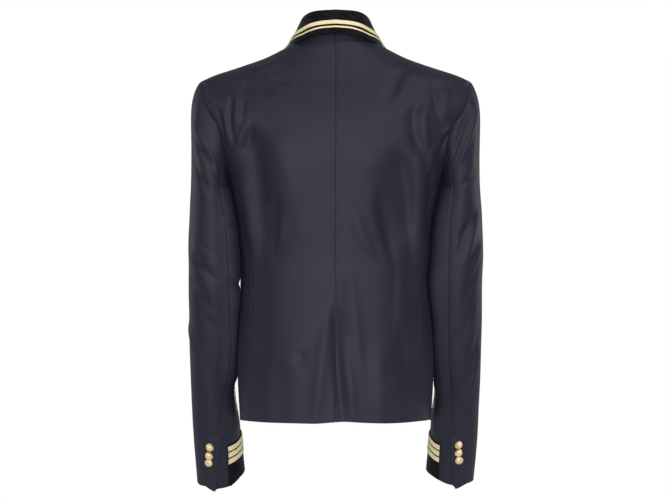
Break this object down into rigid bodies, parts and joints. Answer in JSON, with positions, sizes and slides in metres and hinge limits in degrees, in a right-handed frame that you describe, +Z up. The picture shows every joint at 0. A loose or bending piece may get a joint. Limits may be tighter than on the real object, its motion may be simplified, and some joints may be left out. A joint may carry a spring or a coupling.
{
  "type": "double-breasted military jacket",
  "caption": "Waist-length navy double-breasted jacket, filled out as worn, with padded shoulders, a black velvet fall collar, velvet and gold braid cuffs and domed gold buttons.",
  "frame": {"origin": "middle of the neck base, level with the shoulder line beside the neck, where the wearer's shoulders hold the jacket up", "axes": "+Z up, the front faces -Y, +X is the wearer's left"},
  "size_m": [0.4561, 0.2543, 0.7454],
  "materials": {
    "navy_cloth": "fine smooth worsted with a soft satin sheen",
    "black_velvet": "short dense pile, matt with a pale edge sheen",
    "gold_braid": "ribbed metallic braid",
    "gold_button": "polished gilt, domed"
  },
  "bodies": {
    "root": {"back_left": "navy_cloth", "back_right": "navy_cloth", "collar": "black_velvet", "collar_braid_narrow": "gold_braid", "collar_braid_wide": "gold_braid", "cuff_braid_left_1": "gold_braid", "cuff_braid_left_2": "gold_braid", "cuff_braid_left_3": "gold_braid", "cuff_braid_right_1": "gold_braid", "cuff_braid_right_2": "gold_braid", "cuff_braid_right_3": "gold_braid", "cuff_button_left_1": "gold_button", "cuff_button_left_2": "gold_button", "cuff_button_left_3": "gold_button", "cuff_button_right_1": "gold_button", "cuff_button_right_2": "gold_button", "cuff_button_right_3": "gold_button", "cuff_velvet_left": "black_velvet", "cuff_velvet_right": "black_velvet", "front_button_left_1": "gold_button", "front_button_left_2": "gold_button", "front_button_left_3": "gold_button", "front_button_right_1": "gold_button", "front_button_right_2": "gold_button", "front_button_right_3": "gold_button", "front_left": "navy_cloth", "front_right": "navy_cloth", "lapel_left": "navy_cloth", "lapel_right": "navy_cloth", "side_left": "navy_cloth", "side_right": "navy_cloth", "sleeve_top_left": "navy_cloth", "sleeve_top_right": "navy_cloth", "sleeve_under_left": "navy_cloth", "sleeve_under_right": "navy_cloth"}
  },
  "joints": []
}
